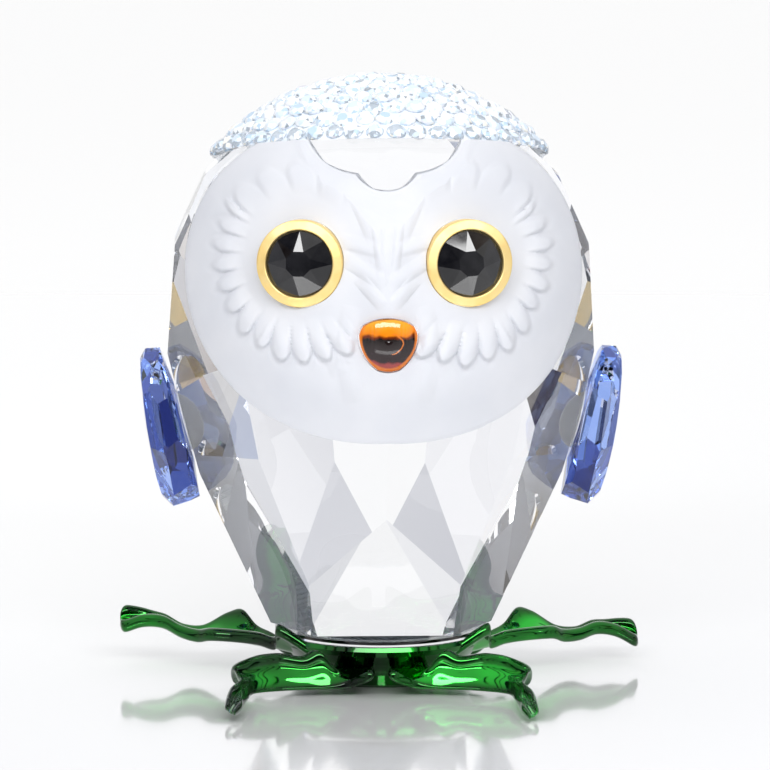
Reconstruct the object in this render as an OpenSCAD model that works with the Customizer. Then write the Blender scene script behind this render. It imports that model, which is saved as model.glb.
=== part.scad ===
// Sitting owl chick cut from clear crystal, standing on a lacquered leaf base.
// Frame: origin at the centre of the flat foot under the leaf base, +Z up,
// the owl looks along -Y and its right-hand viewer side is +X. Millimetres.

/* [Crystal body] */
// Height of the crystal's ground bottom above the shelf
body_bottom_z = 4.3; // [4.2:0.05:4.5]
// Half width of the crystal at its widest girdle
body_half_w = 17.5; // [16.8:0.1:18]
// Radius of the polished foot ring under the crystal
foot_ring_r = 8.9; // [8.2:0.1:9.2]
// Tilt of the two large chest facets below vertical, degrees
chest_tilt = 15; // [12:0.5:17]

/* [Frosted face] */
// Horizontal radius of the moulded face
face_r = 18.6; // [18.2:0.1:19]
// Height of the fullest part of the face
face_z = 30.5; // [29.5:0.25:31.5]
// How far the face's own axis lies behind the body axis
face_back = 1.8; // [1.4:0.1:2.2]

/* [Eyes] */
// Sideways distance of the left eye centre from the middle
eye_left_x = 6.85; // [6.4:0.05:7.1]
// Sideways distance of the hand-set right eye centre from the middle
eye_right_x = 6.4; // [6.2:0.05:7.1]
// Height of the eye centres
eye_z = 36.65; // [36:0.05:37.5]
// Outer diameter of the gilded ring
bezel_d = 7.05; // [6.8:0.05:7.3]
// Diameter of the black stone
eye_stone_d = 5.4; // [5:0.1:5.6]
// Outward turn of each eye, degrees
eye_turn = 12; // [8:1:15]

/* [Beak] */
// Height of the beak's middle
beak_z = 30.6; // [29.8:0.1:31.2]
// How far the beak stands out of the face
beak_proud = 1.5; // [1:0.1:2]

/* [Wings] */
// Height of the middle of the wing's glue facet
wing_z = 21.6; // [21:0.1:22.5]
// Thickness of the wing stone
wing_t = 3.3; // [3:0.1:3.5]
// Lean of the wing facet, degrees
wing_lean = 14.5; // [14:0.25:15]

/* [Stone cap] */
// Backward tilt of the whole cap, degrees
cap_tilt = 12.5; // [11:0.5:15]
// Diameter of each cap stone
stone_d = 1.62; // [1.4:0.02:1.66]
// Angle between neighbouring rings of stones, seen from the cap's centre
ring_step = 5.15; // [5.1:0.01:5.25]

/* [Leaf base] */
// Thickness of a leaf blade
leaf_t = 0.75; // [0.65:0.05:0.9]
// Radius of the rounded rim around each leaf
leaf_rim_r = 0.56; // [0.5:0.02:0.62]
// Radius of the thinner front edge of the two front leaves
front_edge_r = 0.42; // [0.36:0.02:0.56]
// Radius of the flat foot that stands on the shelf
foot_r = 6.4; // [5.5:0.1:7]

/* [Hidden] */
$fn = 64;
EPS = 0.02;
BIG = 70;
bond_t = 0.12;
wing_seat_x = 16.33;
wing_wedge = 6;
wing_blank = 18;
wing_bevel = 38;
wing_outer_bevel_w = 1.7;
wing_inner_bevel_w = 0.9;
wing_bond_r = 2.6;
foot_ring_h = 0.4;
hub_top_z = 3.78;
// How far a cutter or a blank reaches out of the surface
outward_h = 4;

// Face: arc radii of the barrel below and above its fullest height, the
// stretch that each arc covers, and the discs that make up its outline
face_low_r = 45;
face_high_r = 26;
face_low_h = 12;
face_high_h = 17;
cheek_r = 12.3;
cheek_x = 4;
cheek_z = 35;
jaw_r = 21;
jaw_x = 1;
jaw_z = 43.1;
brow_half_w = 8;
brow_top_z = 48.4;
face_root_y = 3;
face_overlap = 2;
face_foot_z = 20.7;

// Block that the crystal is ground from
block_w = 38;
block_depth = 33;
block_h = 44;

// Eye: seat sunk below the face, bore for the cup, gilded ring and stone
eye_seat_depth = 0.5;
eye_bore_depth = 2.4;
eye_cup_depth = 2.3;
eye_clearance = 0.05;
bezel_cup_r = 2.98;
bezel_floor_t = 0.3;
bezel_h = 1.45;
bezel_lip = 0.04;
stone_rise = 1.13;
eye_bond_d = 4.8;
eye_table_r = 1.0;
eye_lift = 4;
eye_crown_h = 0.62;
// The right stone sits a little turned in its cup
right_stone_turn = 4;

// Beak: shallow seat in the face and a domed stone
beak_seat_depth = 0.55;
beak_gap = 0.12;
beak_dome_r = 3.6;
beak_bond_inset = 0.3;

// Discs whose overlap is the beak's outline: brow, two cheeks and corner rounding
beak_brow_r = 3.7;
beak_brow_y = -1.8;
beak_cheek_r = 3.6;
beak_cheek_x = 1.25;
beak_cheek_y = 0.65;
beak_corner_r = 2.42;

// Cap geometry, measured along the cap's tilted axis from its sphere centre
cap_centre_z = 31.35;
cap_seat_d = 12.3;
bed_r = 18.55;
girdle_r = 18.72;
stone_gap = 0.055;

// Ground facets: [azimuth from the front, normal tilt, radius, height].
// Each row is ground left and right, and again on the back half.
quarter_facets = [
    [20, -chest_tilt, 13.3, 18],
    [60.6, -22, 13.6, 18],
    [61.5, -15, 14.34, 20],
    [65, -3, 16, 24.6],
    [62, 11, 17.2, 31.5],
    [66, 30, 16.4, 38],
    [24, 14, 16.2, 36],
    [45, 45, 14.6, 42]
];
// Facets on the middle lines, front and back
middle_facets = [
    [0, -33, 8.8, 8.3],
    [0, 0, 15.7, 30],
    [180, -24, 9.5, 8.3],
    [180, 0, 15.7, 30]
];
// Facets on the flanks, right and left
flank_facets = [
    [90, -31, 10.6, 6],
    [90, 4, body_half_w, 31],
    [90, 24, body_half_w - 0.4, 36.6],
    [90, 46, 14.9, 42]
];
// The three polished facets ground into the frosted forehead
forehead_facets = [
    [7.8, 44.7, 13.2, 43.7],
    [-7.8, 44.7, 13.2, 43.7],
    [0, 35.4, 13.84, 42.5]
];

// Facets of the wing stone around its edge: [angle, distance from its middle]
wing_edges = [
    [0, 4.3],
    [38, 5.2],
    [72, 6.6],
    [104, 6.7],
    [140, 5.4],
    [178, 4.2],
    [214, 4.6],
    [248, 6.7],
    [282, 7.3],
    [322, 5.7]
];

// Leaf stations from root to tip: [front rim, midrib, back rim].
// Points are [out to the left, towards the front, up].
front_leaf = [
    [[1.3, 7.4, 1.9], [2.4, 6.8, 1.8], [3.5, 6.2, 1.9]],
    [[1.35, 10.6, 1.9], [2.5, 9.6, 1.4], [4.0, 8.5, 1.6]],
    [[3.2, 9.9, 0.95], [4.0, 9.4, 1.45], [4.7, 8.9, 2.2]],
    [[4.6, 9.8, 0.75], [5.0, 9.4, 1.8], [5.6, 8.8, 3.1]],
    [[6.4, 10.0, 0.75], [6.6, 9.6, 1.65], [6.8, 8.8, 2.65]],
    [[8.7, 10.4, 0.75], [8.8, 9.9, 1.75], [8.8, 9.1, 3.0]],
    [[10.8, 11.6, 0.8], [10.8, 11.1, 1.65], [10.7, 10.1, 2.9]],
    [[11.4, 14.3, 0.9], [11.6, 13.2, 1.5], [12.5, 11.6, 2.4]],
    [[11.8, 16.7, 1.0], [11.8, 15.7, 1.4], [11.9, 14.0, 1.9]],
    [[12.0, 18.2, 1.0], [12.2, 17.4, 1.2], [12.7, 16.0, 1.5]],
    [[12.6, 20.5, 0.95], [12.8, 20.2, 1.0], [13.2, 19.4, 1.1]]
];
side_leaf = [
    [[5.4, 5.6, 2.5], [6.2, 3.4, 2.3], [6.6, 1.2, 2.3]],
    [[8.6, 5.2, 4.6], [7.9, 3.0, 2.7], [7.9, 1.0, 2.3]],
    [[9.0, 3.4, 3.2], [9.3, 1.6, 2.7], [9.3, -0.5, 2.9]],
    [[10.4, 2.4, 3.4], [10.6, 0.4, 2.7], [10.4, -2.0, 3.15]],
    [[12.4, 1.6, 3.5], [12.0, -0.8, 2.8], [11.6, -3.2, 4.2]],
    [[14.3, 1.0, 3.5], [13.6, -1.4, 2.9], [12.9, -3.8, 3.9]],
    [[15.4, 0.0, 3.2], [15.1, -1.9, 2.8], [14.9, -4.0, 2.8]],
    [[16.8, -1.0, 3.4], [16.7, -2.4, 3.0], [16.5, -4.2, 2.8]],
    [[18.3, -2.0, 4.0], [18.2, -3.3, 3.6], [18.1, -4.9, 3.6]],
    [[19.9, -2.6, 4.0], [19.7, -3.9, 3.8], [19.5, -5.3, 3.9]],
    [[21.4, -3.0, 3.5], [21.4, -4.0, 3.8], [21.3, -5.0, 4.3]],
    [[21.9, -3.4, 3.6], [21.9, -4.0, 3.8], [21.9, -4.6, 4.1]]
];
// How far the blade swells in front of its midrib and sinks behind it
leaf_dish = 0.1;
leaf_steps = 34;
leaf_tip_from = 0.9;
leaf_drop_from = 0.45;
leaf_rim_arc = [-110, -60, -20, 20, 60, 110];
side_leaf_drop = 1.85;
front_right_drop = 0.35;
front_right_turn = 3.5;
back_leaf_turn = -76;

// Catmull-Rom curve through a list of values, t from 0 to 1
function curve_at(list, t) =
    let (
        n = len(list) - 1,
        s = min(floor(t * n), n - 1),
        f = t * n - s,
        a = list[max(s - 1, 0)],
        b = list[s],
        c = list[s + 1],
        d = list[min(s + 2, n)]
    )
    0.5 * (2 * b + (c - a) * f + (2 * a - 5 * b + 4 * c - d) * f * f
        + (3 * b - a - 3 * c + d) * f * f * f);

// Unit vector at right angles to another one, as near to upright as can be
function across_normal(across) =
    let (n = [0, 0, 1] - across[2] * across)
    n / norm(n);

// What one grinding pass takes off: all that lies outside one plane
module ground_off(facet) {
    rotate([0, 0, facet[0]])
        translate([0, -facet[2], facet[3]])
            rotate([-facet[1], 0, 0])
                translate([-BIG / 2, -BIG, -BIG / 2])
                    cube(BIG);
}

// Puts its children in the cap's own tilted frame
module in_cap_frame() {
    translate([0, 0, cap_centre_z])
        rotate([-cap_tilt, 0, 0])
            children();
}

// Puts its children in one wing's frame: origin on the glue facet,
// +X towards the back, +Y up along the facet and +Z outwards
module in_wing_frame(side) {
    mirror([side < 0 ? 1 : 0, 0, 0])
        rotate([0, 0, 90])
            translate([0, -wing_seat_x, wing_z])
                rotate([90 + wing_lean, 0, 0])
                    children();
}

// Puts its children in one eye's frame, +Z outwards along the eye
module in_eye_frame(side) {
    x = side < 0 ? eye_left_x : eye_right_x;
    translate([side * x, eye_seat_depth - face_depth(x, eye_z), eye_z])
        rotate([0, 0, side * eye_turn])
            rotate([90 - eye_lift, 0, 0])
                children();
}

// Radius of the barrel-shaped face at one height
function face_radius(z) =
    let (r = z < face_z ? face_low_r : face_high_r)
    face_r - r + sqrt(r * r - (z - face_z) * (z - face_z));

// Depth of the face's surface in front of the body axis
function face_depth(x, z) = sqrt(face_radius(z) * face_radius(z) - x * x) - face_back;

// The moulded face: a barrel whose arc is flatter below the eyes than above
module face_barrel() {
    translate([0, face_back, 0])
        rotate_extrude()
            union() {
                intersection() {
                    translate([face_r - face_low_r, face_z])
                        circle(r = face_low_r, $fn = 180);
                    translate([0, face_z - face_low_h])
                        square([face_r + 1, face_low_h]);
                }
                intersection() {
                    translate([face_r - face_high_r, face_z])
                        circle(r = face_high_r, $fn = 180);
                    translate([0, face_z])
                        square([face_r + 1, face_high_h]);
                }
            }
}

// Outline of the face seen from the front: round cheeks that meet in a chin
module face_outline() {
    for (side = [0, 1])
        mirror([side, 0])
            intersection() {
                union() {
                    translate([cheek_x, cheek_z])
                        circle(r = cheek_r, $fn = 120);
                    translate([-face_overlap, face_foot_z])
                        square([brow_half_w + face_overlap, brow_top_z - face_foot_z]);
                }
                translate([jaw_x, jaw_z])
                    circle(r = jaw_r, $fn = 180);
            }
}

// The face's outline as a prism that reaches out of the front of the crystal
module face_prism(grow) {
    rotate([90, 0, 0])
        translate([0, 0, face_root_y])
            linear_extrude(face_r)
                offset(r = grow)
                    face_outline();
}

// Bore and seat for one eye
module eye_bore() {
    translate([0, 0, -eye_bore_depth])
        cylinder(r = bezel_cup_r + eye_clearance, h = eye_bore_depth + EPS);
    cylinder(r = bezel_d / 2 + eye_clearance, h = outward_h);
}

// Puts its children on the beak's seat, +Z out of the face
module in_beak_frame() {
    translate([0, beak_seat_depth - face_depth(0, beak_z), beak_z])
        rotate([90, 0, 0])
            children();
}

// Rounded triangle of the beak, point down, grown by one margin
module beak_outline(grow) {
    intersection() {
        translate([0, beak_brow_y])
            circle(r = beak_brow_r + grow, $fn = 120);
        translate([-beak_cheek_x, beak_cheek_y])
            circle(r = beak_cheek_r + grow, $fn = 96);
        translate([beak_cheek_x, beak_cheek_y])
            circle(r = beak_cheek_r + grow, $fn = 96);
        circle(r = beak_corner_r + grow, $fn = 96);
    }
}

// The crystal without its face: a block with every facet ground off
module ground_core() {
    difference() {
        translate([-block_w / 2, -block_depth / 2, body_bottom_z])
            cube([block_w, block_depth, block_h]);
        for (back = [0, 1], side = [0, 1], facet = quarter_facets)
            mirror([0, back, 0])
                mirror([side, 0, 0])
                    ground_off(facet);
        for (facet = middle_facets)
            ground_off(facet);
        for (side = [0, 1], facet = flank_facets)
            mirror([side, 0, 0])
                ground_off(facet);
    }
}

module crystal_body() {
    color([0.93, 0.95, 0.98, 0.6])
        difference() {
            union() {
                ground_core();
                face_prism(0);
                translate([0, 0, body_bottom_z - foot_ring_h])
                    cylinder(r = foot_ring_r, h = foot_ring_h + EPS);
            }
            difference() {
                face_prism(EPS);
                face_barrel();
            }
            for (facet = forehead_facets)
                ground_off(facet);
            for (side = [-1, 1]) {
                in_wing_frame(side)
                    translate([-BIG / 2, -BIG / 2, 0])
                        cube(BIG);
                in_eye_frame(side)
                    eye_bore();
            }
            in_cap_frame()
                translate([-BIG / 2, -BIG / 2, cap_seat_d])
                    cube(BIG);
            in_beak_frame()
                linear_extrude(outward_h)
                    beak_outline(beak_gap);
        }
}

module eye_bezel(side) {
    in_eye_frame(side)
        color([0.83, 0.66, 0.27])
            rotate_extrude()
                polygon([
                    [0, -eye_cup_depth],
                    [bezel_cup_r, -eye_cup_depth],
                    [bezel_cup_r, 0],
                    [bezel_d / 2, 0],
                    [bezel_d / 2, bezel_h * 0.76],
                    [bezel_d / 2 - 0.12, bezel_h * 0.92],
                    [bezel_d / 2 - 0.36, bezel_h],
                    [eye_stone_d / 2 + 0.22, bezel_h * 0.97],
                    [eye_stone_d / 2 + bezel_lip, bezel_h * 0.86],
                    [eye_stone_d / 2 + bezel_lip, bezel_floor_t - eye_cup_depth],
                    [0, bezel_floor_t - eye_cup_depth]
                ]);
}

module eye_bond(side) {
    in_eye_frame(side)
        color([0.9, 0.92, 0.9, 0.5])
            translate([0, 0, bezel_floor_t - eye_cup_depth])
                cylinder(d = eye_bond_d, h = bond_t);
}

module eye_stone(side) {
    in_eye_frame(side)
        color([0.04, 0.04, 0.05])
            translate([0, 0, stone_rise])
                rotate([0, 0, side > 0 ? right_stone_turn : 0])
                    cut_stone();
}

// Flat-backed black stone: small eight-sided table in a star of crown facets
module cut_stone() {
    back = stone_rise + eye_cup_depth - bezel_floor_t - bond_t;
    difference() {
        translate([0, 0, -back])
            cylinder(d = eye_stone_d, h = back + eye_crown_h);
        for (k = [0 : 7]) {
            ground_off([45 * k, 72, eye_table_r, eye_crown_h]);
            ground_off([45 * (k + 0.5), 68.5, eye_table_r / cos(22.5), eye_crown_h]);
        }
    }
}

module beak() {
    color([0.78, 0.33, 0.05])
        in_beak_frame()
            intersection() {
                translate([0, 0, bond_t])
                    linear_extrude(outward_h)
                        beak_outline(0);
                translate([0, 0.2, beak_seat_depth + beak_proud - beak_dome_r])
                    sphere(r = beak_dome_r, $fn = 96);
            }
}

module beak_bond() {
    color([0.9, 0.92, 0.9, 0.5])
        in_beak_frame()
            linear_extrude(bond_t)
                beak_outline(-beak_bond_inset);
}

// One wing stone: a flat drop, thicker below, with a bevelled edge on both sides
module wing(side) {
    in_wing_frame(side)
        color([0.45, 0.55, 0.85, 0.8])
            difference() {
                translate([-wing_blank / 2, -wing_blank / 2, bond_t])
                    cube([wing_blank, wing_blank, wing_t + 2]);
                rotate([-wing_wedge, 0, 0])
                    translate([-BIG / 2, -BIG / 2, wing_t])
                        cube(BIG);
                for (edge = wing_edges)
                    wing_edge(edge[0], edge[1]);
            }
}

// The three grinds of one stretch of the wing's edge: side, outer and inner bevel
module wing_edge(turn, reach) {
    rotate([0, 0, turn])
        translate([reach, -BIG / 2, -BIG / 2])
            cube(BIG);
    rotate([-wing_wedge, 0, 0])
        rotate([0, 0, turn])
            translate([reach - wing_outer_bevel_w, 0, wing_t])
                rotate([0, wing_bevel, 0])
                    translate([0, -BIG / 2, 0])
                        cube(BIG);
    rotate([0, 0, turn])
        translate([reach - wing_inner_bevel_w, 0, bond_t])
            rotate([0, -wing_bevel, 0])
                translate([0, -BIG / 2, -BIG])
                    cube(BIG);
}

module wing_bond(side) {
    in_wing_frame(side)
        color([0.9, 0.92, 0.9, 0.5])
            cylinder(r = wing_bond_r, h = bond_t);
}

module cap_bed() {
    color([0.92, 0.95, 0.98])
        in_cap_frame()
            intersection() {
                sphere(r = bed_r, $fn = 180);
                translate([0, 0, cap_seat_d])
                    cylinder(r = bed_r, h = 10);
            }
}

// One round stone of the cap: table, crown, girdle and pavilion
module cap_stone() {
    rotate_extrude($fn = 24)
        polygon([
            [0, -0.383 * stone_d],
            [0.086 * stone_d, -0.383 * stone_d],
            [0.5 * stone_d, -0.043 * stone_d],
            [0.5 * stone_d, 0.043 * stone_d],
            [0.278 * stone_d, 0.259 * stone_d],
            [0, 0.259 * stone_d]
        ]);
}

// How many stones stand side by side in one ring
function stones_in(ring) =
    ring == 0 ? 1 : floor(2 * PI * girdle_r * sin(ring * ring_step) / (stone_d + stone_gap));

module pave_ring(ring) {
    color([0.85, 0.92, 1])
        in_cap_frame()
            for (k = [0 : stones_in(ring) - 1])
                rotate([0, 0, 360 * (k + 0.5 * (ring % 2)) / stones_in(ring)])
                    rotate([ring * ring_step, 0, 0])
                        translate([0, 0, girdle_r])
                            cap_stone();
}

module base_bond() {
    color([0.9, 0.92, 0.9, 0.5])
        translate([0, 0, hub_top_z])
            cylinder(r = foot_ring_r - 1.2, h = body_bottom_z - foot_ring_h - hub_top_z);
}

module leaf_hub() {
    color([0.0, 0.35, 0.1])
        rotate_extrude()
            polygon([
                [0, 0],
                [foot_r, 0],
                [foot_r + 0.3, 0.25],
                [foot_r + 0.5, 1.1],
                [foot_ring_r - 0.9, 2.2],
                [foot_ring_r - 0.2, 3.0],
                [foot_ring_r, 3.45],
                [foot_ring_r - 0.15, hub_top_z],
                [0, hub_top_z]
            ]);
}

// Closed cross-section of a leaf at one station, from the front rim's underside
// over the top to the back rim and home along the underside. The outer half
// hangs lower by drop at the tip.
function leaf_section(leaf, drop, edge_r, t) =
    let (
        into_tip = max(0, t - leaf_tip_from) / (1 - leaf_tip_from),
        shrink = sqrt(1 - into_tip * into_tip * 0.75),
        half = leaf_t / 2 * shrink,
        front = curve_at([for (row = leaf) row[0]], t),
        mid = curve_at([for (row = leaf) row[1]], t),
        back = curve_at([for (row = leaf) row[2]], t),
        across = (back - front) / norm(back - front),
        off = across_normal(across),
        into_drop = max(0, t - leaf_drop_from) / (1 - leaf_drop_from),
        lower = [0, 0, -drop * pow(into_drop, 1.3)]
    )
    [for (p = concat(
        [for (a = leaf_rim_arc) front + edge_r * shrink * (sin(a) * off - cos(a) * across)],
        [
            (front + mid) / 2 + (half + leaf_dish) * off,
            mid + half * off,
            (back + mid) / 2 + (half - leaf_dish) * off
        ],
        [for (a = leaf_rim_arc) back + leaf_rim_r * shrink * (cos(a) * across - sin(a) * off)],
        [
            (back + mid) / 2 - (half + leaf_dish) * off,
            mid - half * off,
            (front + mid) / 2 - (half - leaf_dish) * off
        ]
    )) p + lower];

// Skin over the leaf's cross-sections, closed at the root and at the tip
module leaf_blade(leaf, drop, edge_r) {
    rows = [for (i = [0 : leaf_steps]) leaf_section(leaf, drop, edge_r, i / leaf_steps)];
    n = len(rows[0]);
    points = [for (row = rows, p = row) [-p[0], -p[1], p[2]]];
    sides = [
        for (i = [0 : leaf_steps - 1], k = [0 : n - 1])
            let (a = i * n + k, b = i * n + (k + 1) % n)
            each [[a, b, b + n], [a, b + n, a + n]]
    ];
    root = [for (k = [n - 1 : -1 : 0]) k];
    tip = [for (k = [0 : n - 1]) leaf_steps * n + k];
    color([0.0, 0.45, 0.12])
        polyhedron(points, concat(sides, [root, tip]));
}

module leaf_front_left() {
    leaf_blade(front_leaf, 0, front_edge_r);
}

module leaf_front_right() {
    rotate([0, 0, -front_right_turn])
        mirror([1, 0, 0])
            leaf_blade(front_leaf, front_right_drop, front_edge_r);
}

module leaf_side_left() {
    leaf_blade(side_leaf, 0, leaf_rim_r);
}

module leaf_side_right() {
    mirror([1, 0, 0])
        leaf_blade(side_leaf, side_leaf_drop, leaf_rim_r);
}

module leaf_back() {
    rotate([0, 0, back_leaf_turn])
        leaf_blade(side_leaf, side_leaf_drop / 2, leaf_rim_r);
}

crystal_body();
eye_bezel(-1);  // eye_bezel_left
eye_bezel(1);  // eye_bezel_right
eye_stone(-1);  // eye_stone_left
eye_stone(1);  // eye_stone_right
eye_bond(-1);  // eye_bond_left
eye_bond(1);  // eye_bond_right
beak();
beak_bond();
wing(-1);  // wing_left
wing(1);  // wing_right
wing_bond(-1);  // wing_bond_left
wing_bond(1);  // wing_bond_right
cap_bed();
pave_ring(0);  // pave_crown
pave_ring(1);  // pave_ring_1
pave_ring(2);  // pave_ring_2
pave_ring(3);  // pave_ring_3
pave_ring(4);  // pave_ring_4
pave_ring(5);  // pave_ring_5
pave_ring(6);  // pave_ring_6
pave_ring(7);  // pave_ring_7
pave_ring(8);  // pave_ring_8
pave_ring(9);  // pave_ring_9
base_bond();
leaf_hub();
leaf_front_left();
leaf_front_right();
leaf_side_left();
leaf_side_right();
leaf_back();
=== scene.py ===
import math

import bmesh
import bpy
import numpy as np
from mathutils import Matrix, Vector


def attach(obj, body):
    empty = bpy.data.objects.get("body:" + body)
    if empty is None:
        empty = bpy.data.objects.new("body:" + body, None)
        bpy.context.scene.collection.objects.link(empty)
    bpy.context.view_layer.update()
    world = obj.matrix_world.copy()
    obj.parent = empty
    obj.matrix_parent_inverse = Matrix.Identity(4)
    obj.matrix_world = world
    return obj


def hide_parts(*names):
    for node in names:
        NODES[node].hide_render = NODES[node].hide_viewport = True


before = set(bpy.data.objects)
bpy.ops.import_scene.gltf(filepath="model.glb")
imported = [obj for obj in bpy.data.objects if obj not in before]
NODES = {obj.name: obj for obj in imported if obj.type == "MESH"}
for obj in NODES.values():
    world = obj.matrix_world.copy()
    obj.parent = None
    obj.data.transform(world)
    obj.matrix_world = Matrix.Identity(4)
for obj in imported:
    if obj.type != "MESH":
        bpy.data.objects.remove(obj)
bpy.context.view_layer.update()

MM = 0.001
# height of the beak's middle, in mm
BEAK_Z = 30.6
scene = bpy.context.scene

# ---------------------------------------------------------------- camera
VIEW_AZ, VIEW_EL = math.radians(-2.0), math.radians(9.0)
CAM_DIST = 0.5
LENS_MM, SENSOR_MM = 280.5, 36.0
AIM_RIGHT, AIM_UP = 0.333 * MM, -0.604 * MM
back = Vector((
    math.sin(VIEW_AZ) * math.cos(VIEW_EL),
    -math.cos(VIEW_AZ) * math.cos(VIEW_EL),
    math.sin(VIEW_EL),
))
right = Vector((math.cos(VIEW_AZ), math.sin(VIEW_AZ), 0.0))
up = back.cross(right)
aim = Vector((0, 0, 25 * MM)) + right * AIM_RIGHT + up * AIM_UP
cam_data = bpy.data.cameras.new("camera")
cam_data.lens = LENS_MM
cam_data.sensor_width = SENSOR_MM
cam_data.clip_start = 0.01
cam_data.clip_end = 20
cam = bpy.data.objects.new("camera", cam_data)
cam.location = aim + back * CAM_DIST
cam.rotation_mode = "QUATERNION"
cam.rotation_quaternion = (-back).to_track_quat("-Z", "Y")
scene.collection.objects.link(cam)
scene.camera = cam

# ---------------------------------------------------------------- light paths
scene.view_settings.view_transform = "Standard"
scene.view_settings.look = "None"
scene.cycles.max_bounces = 28
scene.cycles.transmission_bounces = 28
scene.cycles.glossy_bounces = 12
scene.cycles.diffuse_bounces = 5
scene.cycles.transparent_max_bounces = 16


# ---------------------------------------------------------------- node helpers
def new_material(name):
    """A node material, its tree and its Principled shader."""
    mat = bpy.data.materials.new(name)
    mat.use_nodes = True
    nt = mat.node_tree
    bsdf = next(n for n in nt.nodes if n.type == "BSDF_PRINCIPLED")
    return mat, nt, bsdf


def ramp(nt, source, stops):
    """A colour ramp through (place, colour) stops."""
    r = nt.nodes.new("ShaderNodeValToRGB")
    elements = r.color_ramp.elements
    while len(elements) < len(stops):
        elements.new(0.5)
    for e, (place, colour) in zip(elements, stops):
        e.position = place
        e.color = (*colour, 1.0)
    nt.links.new(source, r.inputs["Fac"])
    return r


def place_coords(nt, scale=1.0):
    """Object coordinates in metres, scaled."""
    tc = nt.nodes.new("ShaderNodeTexCoord")
    mp = nt.nodes.new("ShaderNodeMapping")
    mp.inputs["Scale"].default_value = (scale, scale, scale)
    nt.links.new(tc.outputs["Object"], mp.inputs["Vector"])
    return mp.outputs["Vector"]


def noise(nt, vector, scale, detail=3.0, rough=0.5):
    """The 0 to 1 value of a noise texture."""
    n = nt.nodes.new("ShaderNodeTexNoise")
    n.inputs["Scale"].default_value = scale
    n.inputs["Detail"].default_value = detail
    n.inputs["Roughness"].default_value = rough
    nt.links.new(vector, n.inputs["Vector"])
    return n.outputs["Fac"]


def bump(nt, bsdf, height, strength, distance):
    """Lets a height value bend the shader's normal."""
    b = nt.nodes.new("ShaderNodeBump")
    b.inputs["Strength"].default_value = strength
    b.inputs["Distance"].default_value = distance
    nt.links.new(height, b.inputs["Height"])
    nt.links.new(b.outputs["Normal"], bsdf.inputs["Normal"])


def rough_from(nt, bsdf, value, low, high):
    """Roughness that follows a 0 to 1 value."""
    r = nt.nodes.new("ShaderNodeMapRange")
    r.inputs["To Min"].default_value = low
    r.inputs["To Max"].default_value = high
    nt.links.new(value, r.inputs["Value"])
    nt.links.new(r.outputs["Result"], bsdf.inputs["Roughness"])


# ---------------------------------------------------------------- materials
def crystal_material():
    mat, nt, b = new_material("lead_crystal")
    b.inputs["Base Color"].default_value = (0.985, 0.99, 1.0, 1)
    b.inputs["Transmission Weight"].default_value = 1.0
    b.inputs["Roughness"].default_value = 0.0
    b.inputs["IOR"].default_value = 1.58
    return mat


def frosted_material():
    mat, nt, b = new_material("sandblasted_crystal")
    v = place_coords(nt)
    broad = noise(nt, v, 180.0, 3.0, 0.5)
    tint = ramp(nt, broad, [(0.3, (0.80, 0.82, 0.875)), (0.7, (0.86, 0.875, 0.92))])
    nt.links.new(tint.outputs["Color"], b.inputs["Base Color"])
    fine = noise(nt, v, 9000.0, 2.0, 0.6)
    bump(nt, b, fine, 0.12, 0.00003)
    rough_from(nt, b, fine, 0.5, 0.66)
    b.inputs["IOR"].default_value = 1.5
    b.inputs["Transmission Weight"].default_value = 0.3
    return mat


def gold_material():
    mat, nt, b = new_material("satin_gilding")
    v = place_coords(nt)
    patch = noise(nt, v, 420.0, 3.0, 0.55)
    tint = ramp(nt, patch, [(0.3, (0.97, 0.71, 0.27)), (0.7, (1.0, 0.82, 0.42))])
    nt.links.new(tint.outputs["Color"], b.inputs["Base Color"])
    fine = noise(nt, v, 5200.0, 3.0, 0.6)
    bump(nt, b, fine, 0.15, 0.00002)
    rough_from(nt, b, patch, 0.46, 0.6)
    b.inputs["Metallic"].default_value = 1.0
    return mat


def jet_material():
    mat, nt, b = new_material("black_glass")
    v = place_coords(nt)
    smoke = noise(nt, v, 900.0, 2.0, 0.5)
    tint = ramp(nt, smoke, [(0.3, (0.002, 0.002, 0.003)), (0.8, (0.012, 0.012, 0.014))])
    nt.links.new(tint.outputs["Color"], b.inputs["Base Color"])
    rough_from(nt, b, smoke, 0.01, 0.05)
    b.inputs["IOR"].default_value = 1.62
    return mat


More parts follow.
